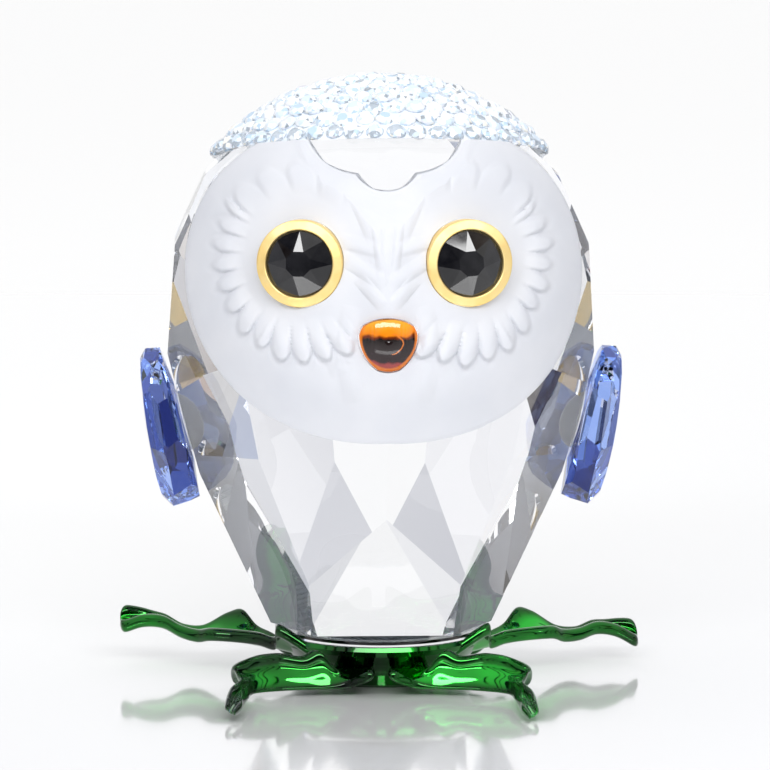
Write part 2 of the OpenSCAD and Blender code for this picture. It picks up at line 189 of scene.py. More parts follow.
def amber_material():
    """Amber glass with painted light and shade: bright at its top and round its edges, dark in its core.
    """
    mat, nt, b = new_material("amber_glass")
    v = place_coords(nt, 1000.0)
    wob = noise(nt, v, 0.55, 3.0, 0.55)
    sep = nt.nodes.new("ShaderNodeSeparateXYZ")
    nt.links.new(v, sep.inputs["Vector"])

    def calc(op, a, b_in):
        m = nt.nodes.new("ShaderNodeMath")
        m.operation = op
        for i, src in enumerate((a, b_in)):
            if isinstance(src, (int, float)):
                m.inputs[i].default_value = src
            else:
                nt.links.new(src, m.inputs[i])
        return m.outputs[0]

    up_mm = calc("SUBTRACT", sep.outputs["Z"], BEAK_Z)
    wave = calc("MULTIPLY", calc("SUBTRACT", wob, 0.5), 1.5)
    level = calc("ADD", up_mm, wave)
    span = nt.nodes.new("ShaderNodeMapRange")
    span.inputs["From Min"].default_value = -2.3
    span.inputs["From Max"].default_value = 2.1
    nt.links.new(level, span.inputs["Value"])
    # painted light and shade up the beak: a red rim low down, a near-black core of painted shade, a
    # bright orange band of painted light at the top
    tint = ramp(nt, span.outputs["Result"], [
        (0.0, (0.30, 0.05, 0.03)), (0.12, (0.34, 0.05, 0.05)), (0.19, (0.02, 0.008, 0.01)),
        (0.60, (0.010, 0.006, 0.005)), (0.66, (0.18, 0.03, 0.003)), (0.71, (0.75, 0.20, 0.005)),
        (0.90, (0.92, 0.36, 0.015)), (1.0, (0.55, 0.13, 0.01)),
    ])
    # painted light round the edge: distance from the beak's middle against its half width there
    across = calc("POWER", calc("DIVIDE", sep.outputs["X"], 2.25), 2.0)
    along = calc("POWER", calc("DIVIDE", up_mm, 2.2), 2.0)
    taper = calc("MULTIPLY", calc("MULTIPLY", across, calc("SUBTRACT", 0.35, up_mm)), 0.16)
    ring = calc("ADD", calc("ADD", across, along), taper)
    edge = ramp(nt, calc("ADD", ring, calc("MULTIPLY", wave, 0.12)), [
        (0.0, (0.0, 0.0, 0.0)), (0.87, (0.0, 0.0, 0.0)), (0.94, (0.6, 0.6, 0.6)), (1.0, (0.9, 0.9, 0.9)),
    ])
    # one painted bright curl of light inside the dark core
    curl = calc("SUBTRACT", calc("ADD", calc("POWER", calc("SUBTRACT", sep.outputs["X"], 0.1), 2.0),
                                 calc("POWER", calc("MULTIPLY", up_mm, 1.25), 2.0)), 1.15)
    painted_curl_light = ramp(nt, calc("ABSOLUTE", calc("ADD", curl, wave), 0.0), [
        (0.0, (0.9, 0.9, 0.9)), (0.10, (0.5, 0.5, 0.5)), (0.2, (0.0, 0.0, 0.0)),
    ])
    right_half = ramp(nt, calc("ADD", calc("MULTIPLY", sep.outputs["X"], 0.6), 0.25), [
        (0.0, (0.0, 0.0, 0.0)), (0.35, (0.0, 0.0, 0.0)), (0.5, (1.0, 1.0, 1.0)),
    ])
    painted_light_mask = calc("MAXIMUM", edge.outputs["Color"],
                calc("MULTIPLY", painted_curl_light.outputs["Color"], right_half.outputs["Color"]))
    # the painted edge light and curl are laid over in orange
    mix = nt.nodes.new("ShaderNodeMix")
    mix.data_type = "RGBA"
    nt.links.new(painted_light_mask, mix.inputs["Factor"])
    nt.links.new(tint.outputs["Color"], mix.inputs["A"])
    mix.inputs["B"].default_value = (0.72, 0.19, 0.02, 1)
    nt.links.new(mix.outputs["Result"], b.inputs["Base Color"])
    rough_from(nt, b, wob, 0.02, 0.06)
    b.inputs["IOR"].default_value = 1.5
    return mat


def sapphire_material(name, tint):
    mat, nt, b = new_material(name)
    b.inputs["Base Color"].default_value = (*tint, 1)
    b.inputs["Transmission Weight"].default_value = 1.0
    b.inputs["Roughness"].default_value = 0.0
    b.inputs["IOR"].default_value = 1.56
    return mat


def opal_material(name, tint, milk):
    mat, nt, b = new_material(name)
    b.inputs["Base Color"].default_value = (*tint, 1)
    b.inputs["Transmission Weight"].default_value = milk
    b.inputs["Roughness"].default_value = 0.02
    b.inputs["IOR"].default_value = 1.55
    return mat


def resin_material():
    mat, nt, b = new_material("milky_resin")
    v = place_coords(nt)
    cloud = noise(nt, v, 500.0, 3.0, 0.5)
    tint = ramp(nt, cloud, [(0.3, (0.84, 0.91, 1.0)), (0.7, (0.93, 0.96, 1.0))])
    nt.links.new(tint.outputs["Color"], b.inputs["Base Color"])
    bump(nt, b, noise(nt, v, 1600.0, 2.0, 0.5), 0.3, 0.00005)
    b.inputs["Roughness"].default_value = 0.25
    return mat


def bond_material():
    mat, nt, b = new_material("clear_adhesive")
    b.inputs["Base Color"].default_value = (0.95, 0.96, 0.95, 1)
    b.inputs["Transmission Weight"].default_value = 0.15
    b.inputs["Roughness"].default_value = 0.15
    b.inputs["IOR"].default_value = 1.5
    return mat


def lacquer_material():
    mat, nt, b = new_material("green_lacquered_metal")
    v = place_coords(nt)
    pool = noise(nt, v, 125.0, 2.0, 0.5)
    # painted highlight: the colour is lighter in the middle of a blade, standing in for a soft
    # reflection, and dark at its rims
    thin = nt.nodes.new("ShaderNodeAttribute")
    thin.attribute_name = "thin"
    shade = nt.nodes.new("ShaderNodeMath")
    shade.operation = "MULTIPLY_ADD"
    nt.links.new(thin.outputs["Fac"], shade.inputs[0])
    shade.inputs[1].default_value = 0.26
    nt.links.new(pool, shade.inputs[2])
    tint = ramp(nt, shade.outputs[0], [
        (0.34, (0.0, 0.008, 0.0005)), (0.47, (0.0005, 0.055, 0.003)), (0.66, (0.001, 0.15, 0.006)),
        (0.86, (0.012, 0.46, 0.028)),
    ])
    nt.links.new(tint.outputs["Color"], b.inputs["Base Color"])
    bump(nt, b, noise(nt, v, 260.0, 1.0, 0.4), 0.12, 0.0002)
    rough_from(nt, b, pool, 0.04, 0.10)
    b.inputs["Metallic"].default_value = 1.0
    b.inputs["Coat Weight"].default_value = 0.55
    b.inputs["Coat Roughness"].default_value = 0.01
    b.inputs["Coat IOR"].default_value = 1.5
    return mat


def floor_material():
    mat, nt, b = new_material("white_acrylic_sheet")
    b.inputs["Base Color"].default_value = (0.965, 0.968, 0.975, 1)
    b.inputs["Roughness"].default_value = 0.11
    b.inputs["Metallic"].default_value = 0.1
    b.inputs["IOR"].default_value = 1.6
    b.inputs["Coat Weight"].default_value = 1.0
    b.inputs["Coat Roughness"].default_value = 0.06
    b.inputs["Coat IOR"].default_value = 1.6
    return mat


CRYSTAL = crystal_material()
FROSTED = frosted_material()
GOLD = gold_material()
JET = jet_material()
AMBER = amber_material()
# the wing's own blue, a darker copy for painted shade and a paler copy for painted light
SAPPHIRES = [
    sapphire_material("sapphire_bright", (0.16, 0.31, 0.93)),
    sapphire_material("sapphire_painted_shade", (0.008, 0.02, 0.17)),
    sapphire_material("sapphire_painted_light", (0.66, 0.73, 0.99)),
]
# how often a facet shows each sapphire, on a wing's lower and upper half; the upper half has more
# painted light and less painted shade
SAPPHIRE_ODDS_LOW, SAPPHIRE_ODDS_HIGH = (0.35, 0.48, 0.17), (0.52, 0.10, 0.38)
RESIN = resin_material()
BOND = bond_material()
LACQUER = lacquer_material()
OPALS = [
    opal_material("opal_white", (0.92, 0.96, 1.0), 0.15),
    opal_material("opal_pale_blue", (0.76, 0.88, 1.0), 0.2),
    opal_material("opal_blue", (0.62, 0.80, 0.98), 0.3),
    opal_material("opal_cream", (1.0, 0.98, 0.90), 0.15),
    opal_material("opal_lilac", (0.93, 0.93, 1.0), 0.2),
    opal_material("opal_clear", (0.90, 0.955, 1.0), 0.8),
]
# how often a facet shows each opal, over the cap and in its lowest ring
OPAL_ODDS = [0.40, 0.24, 0.06, 0.09, 0.12, 0.09]
RIM_ODDS = [0.16, 0.20, 0.07, 0.07, 0.10, 0.40]


def paint(name, mat):
    """Gives a CAD node its material."""
    NODES[name].data.materials.clear()
    NODES[name].data.materials.append(mat)


paint("crystal_body", CRYSTAL)
for side in ("left", "right"):
    paint(f"eye_stone_{side}", JET)
    paint(f"eye_bond_{side}", BOND)
    paint(f"wing_bond_{side}", BOND)
paint("beak", AMBER)
paint("beak_bond", BOND)
paint("cap_bed", RESIN)
paint("base_bond", BOND)
paint("leaf_hub", LACQUER)


# ---------------------------------------------------------------- mesh helpers
def add_mesh(name, verts, faces, mats, smooth=False, sharp_deg=None):
    """A mesh object from millimetre points."""
    me = bpy.data.meshes.new(name)
    me.from_pydata([tuple(c * MM for c in v) for v in verts], [], faces)
    for m in mats:
        me.materials.append(m)
    if smooth:
        me.polygons.foreach_set("use_smooth", [True] * len(me.polygons))
        if sharp_deg is not None:
            me.set_sharp_from_angle(angle=math.radians(sharp_deg))
    me.update()
    ob = bpy.data.objects.new(name, me)
    scene.collection.objects.link(ob)
    return ob


def smoothstep(a, b, x):
    t = np.clip((x - a) / (b - a), 0.0, 1.0)
    return t * t * (3 - 2 * t)


def rot_x(deg):
    a = math.radians(deg)
    return np.array([[1, 0, 0], [0, math.cos(a), -math.sin(a)], [0, math.sin(a), math.cos(a)]])


def rot_z(deg):
    a = math.radians(deg)
    return np.array([[math.cos(a), -math.sin(a), 0], [math.sin(a), math.cos(a), 0], [0, 0, 1]])


def grind(bm, point, normal, dist=1e-5):
    """Takes off all that lies outside one plane and closes the cut."""
    geom = bm.verts[:] + bm.edges[:] + bm.faces[:]
    bmesh.ops.bisect_plane(bm, geom=geom, dist=dist, plane_co=point, plane_no=normal, clear_outer=True)
    open_edges = [e for e in bm.edges if len(e.link_faces) == 1]
    if open_edges:
        bmesh.ops.contextual_create(bm, geom=open_edges)


# ---------------------------------------------------------------- face shape, as in the CAD
# barrel of revolution, its widest height and how far its axis lies behind the origin
FACE_R, FACE_Z, FACE_BACK = 18.6, 30.5, 1.8
FACE_LOW_R, FACE_HIGH_R = 45.0, 26.0
EYE_X = {-1: 6.85, 1: 6.4}
EYE_Z, EYE_TURN, EYE_LIFT = 36.65, 12.0, 4.0
EYE_SEAT = 0.5
BEZEL_R = 7.05 / 2
BEAK_SEAT = 0.55


def face_radius(z):
    """Radius of the face's barrel at one height."""
    r = np.where(z < FACE_Z, FACE_LOW_R, FACE_HIGH_R)
    return FACE_R - r + np.sqrt(r * r - (z - FACE_Z) ** 2)


def face_depth(x, z):
    """How far in front of the origin the smooth face lies."""
    return np.sqrt(face_radius(z) ** 2 - x * x) - FACE_BACK


def facet_plane(az, el, r, z):
    """Outward normal and offset of one ground facet."""
    a, e = math.radians(az), math.radians(el)
    n = np.array([math.sin(a) * math.cos(e), -math.cos(a) * math.cos(e), math.sin(e)])
    p = np.array([math.sin(a) * r, -math.cos(a) * r, z])
    return n, float(n @ p)


FOREHEAD_FACETS = [
    facet_plane(7.8, 44.7, 13.2, 43.7),
    facet_plane(-7.8, 44.7, 13.2, 43.7),
    facet_plane(0, 35.4, 13.84, 42.5),
]
CAP_TILT, CAP_CENTRE_Z, CAP_SEAT_D, GIRDLE_R = 12.5, 31.35, 12.3, 18.72
RINGS, RING_STEP, STONE_D, STONE_GAP = 9, 5.15, 1.62, 0.055
CAP_UP = rot_x(-CAP_TILT) @ np.array([0, 0, 1.0])
CAP_SEAT = (CAP_UP, float(CAP_UP @ np.array([0, 0, CAP_CENTRE_Z])) + CAP_SEAT_D)


def in_outline(x, z):
    """True inside the outline of the moulded face seen from the front."""

    def half(u):
        round_cheek = (u - 4) ** 2 + (z - 35) ** 2 < 12.3 ** 2
        brow = -2 < u < 8 and 20.7 < z < 48.4
        return (round_cheek or brow) and (u - 1) ** 2 + (z - 43.1) ** 2 < 21 ** 2

    return half(x) or half(-x)


# ---------------------------------------------------------------- frosted face relief
def petal_ring(x, z, side):
    """Moulded feathers that fan out round one eye like overlapping petals."""
    dx = side * (x - side * EYE_X[side])
    dz = z - EYE_Z
    rho = np.hypot(dx, dz)
    ang = np.degrees(np.arctan2(dz, dx))
    ang = np.where(ang < -130, ang + 360, ang)
    # ang runs from -90 (down) through 0 (outer cheek) to 90 (up)
    curl = 1.6 * (rho - 5.5)
    upper = smoothstep(28, 50, ang)
    width = np.where(ang < 38, 14.0, 21.0)
    k = (ang + curl + 402.0) / width
    cell = np.floor(k)
    v = k - cell
    wob = np.sin(cell * 12.9898 + side * 3.1) * 43758.5453
    wob = wob - np.floor(wob)
    fan = smoothstep(-136, -112, ang) * (1 - smoothstep(118, 135, ang))
    low = smoothstep(-30, -75, ang)
    reach = 7.15 + 1.0 * low + 0.9 * upper + 0.5 * (wob - 0.5)
    tip = reach - 1.1 * (2 * v - 1) ** 2
    start = 4.2 + 0.6 * wob + 0.9 * upper
    rise = np.clip((rho - start) / (tip - start), 0, 1)
    along = smoothstep(0, 0.7, rise) * (1 - smoothstep(tip - 0.35, tip + 0.15, rho))
    shingle = smoothstep(0.0, 0.26, v) * (1 - v) ** 0.6
    dome = np.clip(1 - (2 * v - 1) ** 2, 0, 1) ** 0.7
    across = np.where(np.abs(ang + 90) < 30, dome, 0.8 * shingle + 0.2 * dome)
    high = 0.60 - 0.24 * upper + 0.15 * (wob - 0.5)
    moat = np.exp(-((rho - tip - 0.35) / 0.3) ** 2) * (1 - upper)
    return fan * (high * along * across - 0.07 * moat)


TUFTS = [
    # centre x, z, direction in degrees from +x, length, half width, height
    (2.1, 38.2, 12, 1.7, 0.6, 0.30),
    (1.8, 36.2, 30, 1.9, 0.65, 0.34),
    (1.35, 34.6, 48, 1.5, 0.6, 0.28),
    (1.7, 40.3, 66, 2.0, 0.7, 0.22),
    (3.3, 31.2, 100, 2.3, 0.8, 0.20),
    (3.0, 27.2, 80, 1.6, 0.9, 0.13),
    (4.4, 29.2, 65, 1.5, 0.8, 0.14),
    (0.75, 38.0, 84, 2.4, 0.4, 0.2),
]
# the frosting lies over and reaches under the barrel by these, and is never lower than the last
SKIN_OVER, SKIN_UNDER, LEAST_PROUD = 0.08, 0.07, 0.03


def relief(x, z, swell_fade):
    """Height of the moulded relief above the smooth barrel, in mm, with its swell faded out."""
    h = np.zeros_like(x)
    bowl = np.ones_like(x)
    for side in (-1, 1):
        near = smoothstep(-1.2, 0.4, side * x)
        h = h + near * petal_ring(x, z, side)
        rho = np.hypot(x - side * EYE_X[side], z - EYE_Z)
        bowl = np.minimum(bowl, smoothstep(3.8, 8.0, rho))
        for cx, cz, turn, length, half, high in TUFTS:
            t = math.radians(turn if side > 0 else 180 - turn)
            s = (x - side * cx) * math.cos(t) + (z - cz) * math.sin(t)
            w = -(x - side * cx) * math.sin(t) + (z - cz) * math.cos(t)
            taper = np.clip(1 - (s / length) ** 2, 0, 1)
            h = h + high * taper * np.clip(1 - (w / half) ** 2, 0, 1) ** 0.9
    nose = np.exp(-((x / 1.7) ** 2)) * smoothstep(30.5, 33.5, z) * (1 - smoothstep(37, 43, z))
    h = h + 0.55 * nose + 0.4 * bowl * swell_fade
    beard = np.exp(-((x / 6.0) ** 2)) * np.exp(-(((z - 27.0) / 1.6) ** 2))
    h = h + 0.10 * beard * (1 + np.cos(x * 2.3))
    return h


def make_frosted_face():
    """The frosted skin: rings of points from the middle of the face out to its outline."""
    centre_z, n_ang, n_rad, n_rear = 33.0, 720, 108, 8
    angles = np.linspace(0, 2 * math.pi, n_ang, endpoint=False)
    edge = np.zeros(n_ang)
    for i, a in enumerate(angles):
        c, s = math.cos(a), math.sin(a)
        hi = 2.0
        while in_outline(hi * c, centre_z + hi * s):
            hi += 0.25
        lo = hi - 0.25
        for _ in range(14):
            mid = (lo + hi) / 2
            if in_outline(mid * c, centre_z + mid * s):
                lo = mid
            else:
                hi = mid
        edge[i] = lo

    def sheet(rows, skin):
        t = np.linspace(0, 1, rows + 1)[1:]
        rr = np.outer(t, edge)
        x, z = rr * np.cos(angles), centre_z + rr * np.sin(angles)
        if skin:
            inset = np.outer(1 - t, edge)
            h = relief(x, z, smoothstep(0.0, 5.0, inset)) * smoothstep(0.0, 1.2, inset)
            out = np.maximum(SKIN_OVER + h, LEAST_PROUD) * smoothstep(-0.15, 0.35, inset)
        else:
            out = -SKIN_UNDER * np.ones_like(x)
        # the frosting thins out towards the polished forehead
        skin_pts = np.stack([x, -face_depth(x, z), z], -1)
        room = np.min([offset - skin_pts @ normal for normal, offset in FOREHEAD_FACETS], axis=0)
        thin = smoothstep(0.0, 0.3, room)
        out = out * thin + (0.008 if skin else -0.012) * (1 - thin)
        return np.stack([x, -(face_depth(x, z) + out), z], -1).reshape(-1, 3)

    front, rear = sheet(n_rad, True), sheet(n_rear, False)
    x0, z0 = np.array([0.0]), np.array([centre_z])
    d0, h0 = float(face_depth(x0, z0)[0]), float(relief(x0, z0, 1.0)[0])
    middles = [[0, -(d0 + SKIN_OVER + h0), centre_z], [0, -(d0 - SKIN_UNDER), centre_z]]
    verts = np.vstack([front, rear, middles])
    n, last = n_rad * n_ang, len(verts) - 1
    faces = []
    for rows, first, turn in ((n_rad, 0, False), (n_rear, n, True)):
        for i in range(rows - 1):
            for j in range(n_ang):
                k = (j + 1) % n_ang
                quad = [first + i * n_ang + j, first + (i + 1) * n_ang + j,
                        first + (i + 1) * n_ang + k, first + i * n_ang + k]
                faces.append(tuple(reversed(quad)) if turn else tuple(quad))
    for j in range(n_ang):
        k = (j + 1) % n_ang
        faces.append((last - 1, j, k))
        faces.append((last, n + k, n + j))
        o, q = (n_rad - 1) * n_ang, n + (n_rear - 1) * n_ang
        faces.append((o + j, q + j, q + k, o + k))
    ob = add_mesh("frosted_face", verts.tolist(), faces, [FROSTED])
    bm = bmesh.new()
    bm.from_mesh(ob.data)
    for normal, offset in FOREHEAD_FACETS + [CAP_SEAT]:
        grind(bm, tuple(normal * offset * MM), tuple(normal), 1e-8)
    bmesh.ops.recalc_face_normals(bm, faces=bm.faces)
    bm.to_mesh(ob.data)
    bm.free()
    return ob


def frame_matrix(rot, origin):
    """Turn and place of a piece as a matrix, from its frame in mm."""
    m = Matrix.Identity(4)
    for i in range(3):
        for j in range(3):
            m[i][j] = float(rot[i, j])
        m[i][3] = float(origin[i]) * MM
    return m


def eye_frame(side):
    """Turn and seat of one eye."""
    x = EYE_X[side]
    origin = np.array([side * x, EYE_SEAT - float(face_depth(x, np.float64(EYE_Z))), EYE_Z])
    return rot_z(side * EYE_TURN) @ rot_x(90 - EYE_LIFT), origin


def beak_outline(grow, steps=72):
    """Rounded triangle in which three circles meet."""
    discs = [(0, -1.8, 3.7), (-1.25, 0.65, 3.6), (1.25, 0.65, 3.6), (0, 0, 2.42)]
    pts = []
    for i in range(steps):
        a = 2 * math.pi * i / steps
        c, s = math.cos(a), math.sin(a)
        reach = 9.0
        for cx, cy, r in discs:
            q = c * cx + s * cy
            reach = min(reach, q + math.sqrt(q * q - cx * cx - cy * cy + r * r))
        pts.append(((reach + grow) * c, (reach + grow) * s))
    return pts


def prism(name, outline, low, high, rot, origin):
    """A straight-sided cutter over an outline."""
    n = len(outline)
    verts = [(x, y, low) for x, y in outline] + [(x, y, high) for x, y in outline]
    faces = [tuple(reversed(range(n))), tuple(range(n, 2 * n))]
    faces += [(i, (i + 1) % n, n + (i + 1) % n, n + i) for i in range(n)]
    ob = add_mesh(name, verts, faces, [FROSTED])
    ob.data.transform(frame_matrix(rot, origin))
    return ob


def cut(target, cutter):
    """Takes the cutter out of the target and deletes it."""
    mod = target.modifiers.new("cut", "BOOLEAN")
    mod.operation = "DIFFERENCE"
    mod.solver = "EXACT"
    mod.object = cutter
    dg = bpy.context.evaluated_depsgraph_get()
    done = bpy.data.meshes.new_from_object(target.evaluated_get(dg))
    target.modifiers.clear()
    old = target.data
    target.data = done
    bpy.data.meshes.remove(old)
    bpy.data.objects.remove(cutter)


face = make_frosted_face()
for side in (-1, 1):
    rot, origin = eye_frame(side)
    r = BEZEL_R + 0.05
    ring = [(r * math.cos(2 * math.pi * i / 96), r * math.sin(2 * math.pi * i / 96)) for i in range(96)]
    cut(face, prism("eye_cutter", ring, -3, 3, rot, origin))
beak_origin = np.array([0, BEAK_SEAT - float(face_depth(0.0, np.float64(BEAK_Z))), BEAK_Z])
cut(face, prism("beak_cutter", beak_outline(0.1), -2, 3, rot_x(90), beak_origin))
face.data.polygons.foreach_set("use_smooth", [True] * len(face.data.polygons))
face.data.set_sharp_from_angle(angle=math.radians(50))
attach(face, "root")


# ---------------------------------------------------------------- gilded rings
BEZEL_PROFILE = [
    # radius, height over the seat
    (0.0, -2.3), (2.98, -2.3), (2.98, 0.0), (3.525, 0.0), (3.525, 1.16), (3.47, 1.27), (3.38, 1.31),
    (2.84, 1.45), (2.76, 1.40), (2.72, 1.28), (2.72, -2.0), (0.0, -2.0),
]
BEZEL_FLATS = 9


def make_bezel(side):
    """Turned ring with a hand-filed, slightly uneven upper face."""
    steps = 144
    verts, faces = [(0, 0, -2.3)], []
    rings = BEZEL_PROFILE[1:-1]
    for r, z in rings:
        for i in range(steps):
            a = 2 * math.pi * i / steps
            beat = (i * BEZEL_FLATS / steps + 0.3 * side) % 1.0
            dz = 0.035 * (abs(2 * beat - 1) - 0.5) if z > 1.3 and r > 2.8 else 0.0
            verts.append((r * math.cos(a), r * math.sin(a), z + dz))
    verts.append((0, 0, -2.0))
    for k in range(len(rings) - 1):
        for i in range(steps):
            j = (i + 1) % steps
            a, b = 1 + k * steps, 1 + (k + 1) * steps
            faces.append((a + i, a + j, b + j, b + i))
    last, top = len(verts) - 1, 1 + (len(rings) - 1) * steps
    for i in range(steps):
        j = (i + 1) % steps
        faces.append((0, 1 + j, 1 + i))
        faces.append((last, top + i, top + j))
    name = "eye_bezel_right" if side > 0 else "eye_bezel_left"
    ob = add_mesh(name + "_satin", verts, faces, [GOLD], True, 6)
    rot, origin = eye_frame(side)
    ob.data.transform(frame_matrix(rot, origin))
    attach(ob, "root")
    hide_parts(name)


make_bezel(-1)
make_bezel(1)


# ---------------------------------------------------------------- cap stones
def cut_stone_mesh():
    """Round stone: table, star, kite and girdle facets above, pavilion below."""
    table_r, table_z = 0.43, 0.42
    girdle_r, girdle_z = 0.81, 0.08
    mid_r = 0.64
    mid_x = mid_r * math.cos(math.radians(22.5))
    mid_z = table_z + (girdle_z - table_z) * (mid_x - table_r) / (girdle_r - table_r)
    verts, faces = [], []

    def ringv(n, r, z, off=0.0):
        first = len(verts)
        for i in range(n):
            a = 2 * math.pi * (i + off) / n
            verts.append((r * math.cos(a), r * math.sin(a), z))
        return first

    t = ringv(8, table_r, table_z)
    m = ringv(8, mid_r, mid_z, 0.5)
    g = ringv(16, girdle_r, girdle_z)
    w = ringv(16, girdle_r, -girdle_z)
    c = ringv(8, 0.14, -0.62, 0.5)
    faces.append(tuple(t + i for i in range(8)))
    for i in range(8):
        j = (i + 1) % 8
        h = (i - 1) % 8
        faces.append((t + i, m + i, t + j))
        faces.append((t + i, m + h, g + 2 * i, m + i))
        faces.append((m + i, g + 2 * i, g + 2 * i + 1))
        faces.append((m + i, g + 2 * i + 1, g + (2 * i + 2) % 16))
        faces.append((w + 2 * i + 1, w + 2 * i, c + i))
        faces.append((w + (2 * i + 2) % 16, w + 2 * i + 1, c + i))
        faces.append((w + (2 * i + 2) % 16, c + i, c + j))
    for i in range(16):
        j = (i + 1) % 16
        faces.append((g + i, w + i, w + j, g + j))
    faces.append(tuple(c + i for i in reversed(range(8))))
    return np.array(verts), faces


def stones_in(ring):
    """How many stones fit round one ring of the cap."""
    if ring == 0:
        return 1
    around = 2 * math.pi * GIRDLE_R * math.sin(math.radians(ring * RING_STEP))
    return int(around / (STONE_D + STONE_GAP))


def make_stones():
    """The crown stone and the nine rings of the cap, each stone a little out of true."""
    rng = np.random.default_rng(11)
    sv, sf = cut_stone_mesh()
    cap = rot_x(-CAP_TILT)
    for ring in range(RINGS + 1):
        verts, faces, tints = [], [], []
        n = stones_in(ring)
        odds = RIM_ODDS if ring == RINGS else OPAL_ODDS
        for k in range(n):
            base = rot_z(360 * (k + 0.5 * (ring % 2)) / n) @ rot_x(ring * RING_STEP)
            lean = rot_x(rng.uniform(-13, 13)) @ rot_z(rng.uniform(0, 360))
            tip = rot_z(90) @ rot_x(rng.uniform(-13, 13)) @ rot_z(-90)
            pts = (sv * rng.uniform(0.94, 1.06)) @ (tip @ lean).T
            shift = [rng.uniform(-0.1, 0.1), rng.uniform(-0.1, 0.1), GIRDLE_R + rng.uniform(-0.12, 0.0)]
            pts = (pts + np.array(shift)) @ (cap @ base).T + np.array([0, 0, CAP_CENTRE_Z])
            first = len(verts)
            verts += pts.tolist()
            faces += [tuple(first + i for i in f) for f in sf]
            tints += rng.choice(len(OPALS), size=len(sf), p=odds).tolist()
        name = "pave_crown" if ring == 0 else f"pave_ring_{ring}"
        ob = add_mesh(name + "_cut", verts, faces, OPALS)
        ob.data.polygons.foreach_set("material_index", tints)
        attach(ob, "root")
        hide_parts(name)


make_stones()

# ---------------------------------------------------------------- wings
WING_Z, WING_T, WING_LEAN, WING_SEAT_X, WING_WEDGE = 21.6, 3.3, 14.5, 16.33, 6.0
BOND_T = 0.12
# direction of each edge of the outline in degrees, and how far out it lies
WING_EDGES = [
    (0, 4.3), (38, 5.2), (72, 6.6), (104, 6.7), (140, 5.4),
    (178, 4.2), (214, 4.6), (248, 6.7), (282, 7.3), (322, 5.7),
]


def make_wing(side):
    """A flat stone ground facet by facet from a block, then stood against the flank."""
    bm = bmesh.new()
    bmesh.ops.create_cube(bm, size=1.0)
    bmesh.ops.scale(bm, vec=(18, 18, WING_T + 2), verts=bm.verts)
    bmesh.ops.translate(bm, vec=(0, 0, BOND_T + (WING_T + 2) / 2), verts=bm.verts)
    wedge = rot_x(-WING_WEDGE)

    def outer(turn, reach, tilt):
        a, t = math.radians(turn), math.radians(tilt)
        c, s = math.cos(a), math.sin(a)
        point = wedge @ np.array([reach * c, reach * s, WING_T])
        normal = wedge @ np.array([math.sin(t) * c, math.sin(t) * s, math.cos(t)])
        grind(bm, tuple(point), tuple(normal))

    def inner(turn, reach, tilt):
        a, t = math.radians(turn), math.radians(tilt)
        c, s = math.cos(a), math.sin(a)
        grind(bm, (reach * c, reach * s, BOND_T), (math.sin(t) * c, math.sin(t) * s, -math.cos(t)))

    def side_wall(turn, reach, tilt):
        a, t = math.radians(turn), math.radians(tilt)
        c, s = math.cos(a), math.sin(a)
        grind(bm, (reach * c, reach * s, WING_T / 2), (c * math.cos(t), s * math.cos(t), math.sin(t)))

    outer(0, 0, 0)
    for turn, reach in WING_EDGES:
        a = math.radians(turn)
        c, s = math.cos(a), math.sin(a)
        grind(bm, (reach * c, reach * s, 0), (c, s, 0))
        outer(turn, reach - 1.7, 38)
        inner(turn, reach - 0.9, 38)
    for i, (turn, reach) in enumerate(WING_EDGES):
        after, far = WING_EDGES[(i + 1) % len(WING_EDGES)]
        half = turn + ((after - turn) % 360) / 2
        mean = (reach + far) / 2
        side_wall(half - 8, mean, 9)
        side_wall(half + 8, mean * 0.995, -11)
        outer(half, mean - 1.2, 33)
        outer(turn, reach * 0.46, 9)
        outer(half, mean * 0.2, 4)
        inner(half, mean * 0.5, 7)
    flip = np.diag([side, 1, 1.0])
    rot = flip @ rot_z(90) @ rot_x(90 + WING_LEAN)
    origin = flip @ rot_z(90) @ np.array([0, -WING_SEAT_X, WING_Z])
    me = bpy.data.meshes.new("wing_cut")
    if side < 0:
        bmesh.ops.reverse_faces(bm, faces=bm.faces)
    bmesh.ops.scale(bm, vec=(MM, MM, MM), verts=bm.verts)
    bm.to_mesh(me)
    bm.free()
    me.transform(frame_matrix(rot, origin))
    for mat in SAPPHIRES:
        me.materials.append(mat)
    # each facet takes at random the own blue, the painted-shade copy or the painted-light copy, lighter
    # on the upper half
    rng = np.random.default_rng(5 + side)
    heights = [p.center.z for p in me.polygons]
    middle = (min(heights) + max(heights)) / 2
    me.polygons.foreach_set("material_index", [
        int(rng.choice(3, p=SAPPHIRE_ODDS_LOW if z < middle else SAPPHIRE_ODDS_HIGH)) for z in heights
    ])
    name = "wing_right" if side > 0 else "wing_left"
    ob = bpy.data.objects.new(name + "_cut", me)
    scene.collection.objects.link(ob)
    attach(ob, "root")
    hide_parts(name)


make_wing(-1)
make_wing(1)

